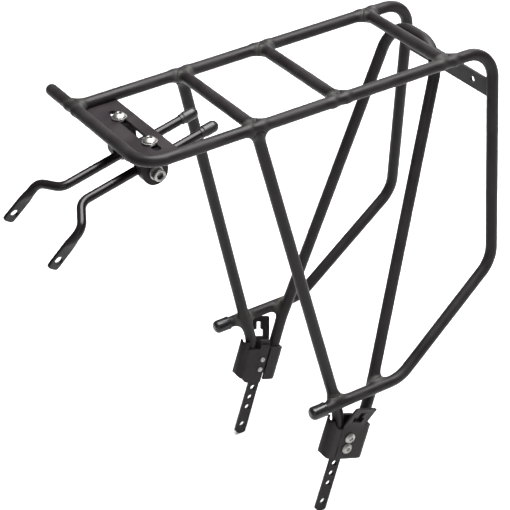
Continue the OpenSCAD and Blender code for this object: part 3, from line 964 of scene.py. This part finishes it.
@dataclass
class StayClamp:
    """One sliding clamp under the slotted plate, with its bolts, and the arm that it holds.

    The arm's own axes: x forward along the rod, y outboard, z up, with the cross bolt at x = 0.
    """

    bench: Bench
    side: Side
    roll: float
    slide: float
    pitch: float = 12.5
    rod_y: float = 0.015
    rod: float = 3.75 * MM
    tail: float = -0.0656
    first_bend: tuple[float, float, float] = (0.0606, 0, 0)
    second_bend: tuple[float, float, float] = (0.072, 0.019, -0.004)
    eye: tuple[float, float, float] = (0.0973, 0.0198, -0.0221)
    bend: float = 0.011
    eye_bore: float = 3.3 * MM
    flat_from: float = 0.009
    flat_wide: float = 5.75 * MM
    flat_thick: float = 1.5 * MM
    flat_round: float = 3.0 * MM
    past_eye: float = 0.009
    tip_length: float = 0.016
    tip: float = 4.9 * MM
    collar: float = 4.4 * MM
    collar_length: float = 3 * MM
    flat_ease: float = 0.0125
    casting_edge: float = 0.5 * MM
    pivot: tuple[float, float, float] = field(init=False)

    def __post_init__(self) -> None:
        """Reads where the cross bolt's axis meets the rack's middle plane."""
        low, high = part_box(self.node("cross_washer"))
        self.pivot = ((low.x + high.x) / 2, 0.0, (low.z + high.z) / 2)

    def node(self, word: str) -> str:
        """A node's name on this side."""
        return f"{self.side.word}_{word}"

    def posed(self, points: np.ndarray, directions: bool = False) -> np.ndarray:
        """Points, or directions, of the arm's own axes in the rack's frame."""
        pitched = Matrix.Rotation(math.radians(self.pitch), 3, "Y")
        turn = pitched @ Matrix.Rotation(math.radians(self.roll), 3, "X")
        moved = np.asarray(points, float) @ np.array(turn).T
        if not directions:
            across = pitched @ Vector((self.slide, self.rod_y, 0))
            moved = moved + np.array(self.pivot) + np.array(across)
        return self.side.flip(moved)

    def bolts(self) -> None:
        """The slot bolt and the cross bolt, each with its washer."""
        low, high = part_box(self.node("slot_bolt"))
        x, y = (low.x + high.x) / 2, (low.y + high.y) / 2
        profile = HeadProfile(
            shank=3.0 * MM,
            length=20 * MM,
            head=5.25 * MM,
            height=3.3 * MM,
            socket=2.0 * MM,
            depth=1.5 * MM,
            dome=6.7 * MM,
        )
        seat = (x, y, low.z + profile.length)
        bolt = turned(self.node("button_head"), profile.rows(), seat, (0, 0, 1), (0.9, 0.3, 0))
        self.bench.fit(bolt, Slot.ZINC, self.node("slot_bolt"))
        low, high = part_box(self.node("slot_washer"))
        rows = washer_rows(3.05 * MM, (high.x - low.x) / 2, high.z - low.z)
        washer = turned(self.node("flat_washer"), rows, (x, y, low.z), (0, 0, 1), (1, 0, 0), True, 96)
        self.bench.fit(washer, Slot.ZINC, self.node("slot_washer"))
        outward = (0, self.side.value, 0)
        low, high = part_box(self.node("cross_washer"))
        inner_y = min(abs(low.y), abs(high.y)) * self.side.value
        middle = ((low.x + high.x) / 2, inner_y, (low.z + high.z) / 2)
        rows = washer_rows(3.1 * MM, (high.x - low.x) / 2, high.y - low.y)
        washer = turned(self.node("bolt_washer"), rows, middle, outward, (0, 0, 1), True, 96)
        self.bench.fit(washer, Slot.ZINC, self.node("cross_washer"))
        profile = HeadProfile(
            shank=3.0 * MM, length=9.15 * MM, head=5.0 * MM, height=6.0 * MM, socket=2.5 * MM, depth=3.2 * MM
        )
        seat = (middle[0], inner_y + self.side.value * (high.y - low.y), middle[2])
        ribs = (36, 0.28 * MM, 0.6 * MM, 5.0 * MM)
        rows = profile.rows()
        # rows on the head's wall, just inside and outside the knurl's two ends
        rows[5:5] = [(height * MM, profile.head) for height in (0.6, 0.85, 4.9, 5.1)]
        bolt = turned(self.node("cap_head"), rows, seat, outward, (0.5, 0, 0.8), count=360, ribs=ribs)
        self.bench.fit(bolt, Slot.ZINC, self.node("cross_bolt"))

    def arm(self) -> None:
        """The rod, swept along its bends and pressed flat at the eye."""
        way = unit(np.array(self.eye) - np.array(self.second_bend))
        stop = np.array(self.eye) + way * self.past_eye
        start = np.array([self.tail + self.collar_length, 0, 0])
        corners = np.array([start, self.first_bend, self.second_bend, stop])
        axis = BentTube("rod", corners, [0, self.bend, self.bend, 0], self.rod, (0, 1, 0), step=0.5 * MM)
        gone = (axis.spots - np.array(self.second_bend)) @ way
        end = float((stop - np.array(self.second_bend)) @ way)
        tight = np.linspace(0, 1, 12)[1:]
        cap = end - self.flat_round + self.flat_round * np.sin(tight * math.pi / 2) * 0.999
        straight = gone < end - self.flat_round
        straight[: len(straight) // 2] = True
        spots = np.concatenate([axis.spots[straight], np.array(self.second_bend) + cap[:, None] * way])
        ways = np.concatenate([axis.ways[straight], np.repeat(way[None], len(cap), 0)])
        gone = np.concatenate([np.where(axis.ways[straight] @ way > 0.9, gone[straight], 0), cap])
        pressed = np.clip((gone - self.flat_from) / self.flat_ease, 0, 1)
        pressed = pressed * pressed * (3 - 2 * pressed)
        wide = self.rod + (self.flat_wide - self.rod) * pressed
        over = np.clip(gone - (end - self.flat_round), 0, None) / self.flat_round
        wide = np.minimum(wide, self.flat_wide - self.flat_round * (1 - np.sqrt(np.maximum(1 - over**2, 0))))
        thick = self.rod + (self.flat_thick - self.rod) * pressed
        thick = thick * (1 - 0.35 * over**6)
        power = 2 / (2 + 4.5 * pressed)[:, None]
        angle = np.arange(48) * TAU / 48
        first, _ = basis(ways, (0, 1, 0))
        second = np.cross(ways, first)
        c, s = np.cos(angle)[None], np.sin(angle)[None]
        lift = np.sign(c) * np.abs(c) ** power * thick[:, None]
        reach = np.sign(s) * np.abs(s) ** power * wide[:, None]
        points = spots[:, None] + lift[..., None] * first[:, None] + reach[..., None] * second[:, None]
        world = self.posed(points)
        if self.side is Side.RIGHT:
            world = world[:, ::-1]
        rod = grid_object(self.node("rod"), world)
        normal, _ = basis(way, (0, 1, 0))
        soft = 0.45 * MM
        wall = self.flat_thick - soft
        rows = [(-2 * wall - soft, self.eye_bore + wall + soft), (-wall, self.eye_bore)]
        rows += [(wall, self.eye_bore), (2 * wall + soft, self.eye_bore + wall + soft)]
        eye = self.posed(np.array([self.eye]))[0]
        cutter = turned("eye_cutter", rows, eye, self.posed(np.array([normal]), True)[0])
        bored(rod, cutter)
        self.bench.fit(rod, Slot.GLOSS, self.node("stay_arm"))

    def rubber(self) -> None:
        """The moulded tip over the rod's tail: a thin collar, a body and a domed end."""
        nick = 0.3 * MM
        body = self.tip_length - self.tip
        rows = [(0, self.rod + nick), (nick, self.collar), (self.collar_length - nick, self.collar)]
        rows += [(self.collar_length, self.tip - nick), (self.collar_length + nick, self.tip)]
        rows += [(body, self.tip)]
        turns = np.radians(np.linspace(12, 84, 9))
        rows += [(body + self.tip * math.sin(t), self.tip * math.cos(t)) for t in turns]
        front = self.posed(np.array([[self.tail + self.tip_length, 0, 0]]))[0]
        back = self.posed(np.array([[-1.0, 0, 0]]), True)[0]
        self.bench.fit(turned(self.node("tip"), rows, front, back), Slot.RUBBER, self.node("arm_tip"))

    def build(self) -> None:
        """Makes the block, nut, fasteners, arm and tip."""
        for word in ("clamp_block", "eye_nut"):
            self.bench.fit(rounded_copy(self.node(word), self.casting_edge), Slot.SHEET, self.node(word))
        self.bolts()
        self.arm()
        self.rubber()


@dataclass
class Fittings:
    """Clamp bolts through the folded plates, and the caps on the bag rails' ends."""

    bench: Bench
    bolt_holes: tuple[float, float] = (0.058, 0.068)
    cap_round: float = 4.0 * MM
    cap_rim: float = 1.4 * MM

    def clamp_bolts(self, side: Side) -> None:
        """Two pan head bolts, side by side along the height strip."""
        node = f"{side.word}_clamp_bolts"
        low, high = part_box(node)
        profile = HeadProfile(
            shank=2.4 * MM,
            length=15.3 * MM,
            head=4.8 * MM,
            height=2.9 * MM,
            socket=1.5 * MM,
            depth=1.2 * MM,
            dome=7.44 * MM,
        )
        outer = max(abs(low.y), abs(high.y)) - profile.height
        heads = []
        for order, up in enumerate(self.bolt_holes):
            seat = (-up * math.sin(CLAMP_LEAN), side.value * outer, up * math.cos(CLAMP_LEAN))
            turn = (math.cos(0.7 + order), 0, math.sin(0.7 + order))
            heads.append(turned(f"pan_head_{order}", profile.rows(), seat, (0, side.value, 0), turn))
        self.bench.fit(joined(f"{node}_heads", heads), Slot.ZINC, node)

    def cap(self, side: Side) -> None:
        """A glossy moulded cap with a low rim at its mouth and a rounded end."""
        node = f"{side.word}_rail_cap"
        low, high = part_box(node)
        outer, length = (high.z - low.z) / 2, high.x - low.x
        nick, skin = 0.3 * MM, 0.2 * MM
        rows = [(0, outer - 4 * nick), (0, outer - nick), (nick, outer), (self.cap_rim, outer)]
        rows += [(self.cap_rim + nick, outer - skin)]
        rows += arc_rows(length - self.cap_round, outer - skin - self.cap_round, self.cap_round, 9)
        rows += [(length, 0.15 * outer)]
        centre = (low.x, (low.y + high.y) / 2, (low.z + high.z) / 2)
        self.bench.fit(turned(f"{node}_shape", rows, centre, (1, 0, 0)), Slot.PLASTIC, node)

    def build(self) -> None:
        """Makes the bolts and caps of both sides."""
        for side in Side:
            self.clamp_bolts(side)
            self.cap(side)


@dataclass
class Studio:
    """A pale floor, soft lights and the camera."""

    spot: tuple[float, float, float] = (0.6747, 1.2096, 1.0772)
    view: tuple[float, float, float] = (-0.40907, -0.74483, -0.52716)
    up: tuple[float, float, float] = (-0.31875, -0.42468, 0.84738)
    lens: float = 137.62
    sensor: float = 36.0
    aim: tuple[float, float, float] = (-0.03, 0, 0.2)
    floor_half: float = 6.0
    sky: float = 0.26

    def camera(self) -> None:
        """Places the camera from its spot, view and up directions."""
        data = bpy.data.cameras.new("camera")
        data.lens = self.lens
        data.sensor_width = self.sensor
        data.clip_end = 50
        made = bpy.data.objects.new("camera", data)
        bpy.context.scene.collection.objects.link(made)
        back = -unit(np.array(self.view))
        right = unit(np.cross(np.array(self.up), back))
        matrix = Matrix.Identity(4)
        for i, column in enumerate((right, np.cross(back, right), back, np.array(self.spot))):
            for j in range(3):
                matrix[j][i] = column[j]
        made.matrix_world = matrix
        bpy.context.scene.camera = made

    def light(self, name: str, spot: Sequence[float], size: float, power: float) -> None:
        """A soft square lamp that faces the rack."""
        data = bpy.data.lights.new(name, "AREA")
        data.size = size
        data.energy = power
        made = bpy.data.objects.new(name, data)
        bpy.context.scene.collection.objects.link(made)
        made.location = spot
        made.rotation_euler = (Vector(self.aim) - Vector(spot)).to_track_quat("-Z", "Y").to_euler()

    def build(self) -> None:
        """Sets the floor, lamps, world and colour management."""
        floor_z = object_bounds()[0][2]
        half = self.floor_half
        corners = [(x * half, y * half, floor_z) for x, y in ((-1, -1), (1, -1), (1, 1), (-1, 1))]
        mesh = bpy.data.meshes.new("floor")
        mesh.from_pydata(corners, [], [(0, 1, 2, 3)])
        floor = bpy.data.objects.new("floor", mesh)
        bpy.context.scene.collection.objects.link(floor)
        book = MaterialBook("floor_paper")
        book.set(Base_Color=(0.6, 0.6, 0.6, 1.0), Roughness=0.9)
        mesh.materials.append(book.material)
        floor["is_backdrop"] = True
        self.light("top", (-0.25, 0.2, 1.9), 1.5, 150.0)
        self.light("near", (1.3, 1.7, 0.9), 1.2, 8.0)
        self.light("back", (-1.6, -1.0, 1.3), 1.4, 22.0)
        world = bpy.data.worlds.new("studio")
        world.use_nodes = True
        glow = world.node_tree.nodes["Background"].inputs
        glow["Color"].default_value = (1, 1, 1, 1)
        glow["Strength"].default_value = self.sky
        bpy.context.scene.world = world
        bpy.context.scene.view_settings.view_transform = "Standard"
        self.camera()


def main() -> None:
    """Builds the rack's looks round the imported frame."""
    logging.basicConfig(level=logging.INFO, format="%(message)s")
    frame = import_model()
    bench = Bench(frame["nodes"], PaintShop(), frame["record"]["behaviour"]["bodies"])
    slots = {entry["node"]: Slot(entry["material_slot"]) for entry in frame["record"]["subparts"]}
    for node, piece in bench.nodes.items():
        bench.paints.dress(piece, slots[node])
    Studio().build()
    TubeFrame(bench).build()
    SheetWork(bench).build()
    StayClamp(bench, Side.LEFT, roll=-17.0, slide=-0.8 * MM).build()
    StayClamp(bench, Side.RIGHT, roll=17.0, slide=0.7 * MM).build()
    Fittings(bench).build()


if __name__ == "__main__":
    main()
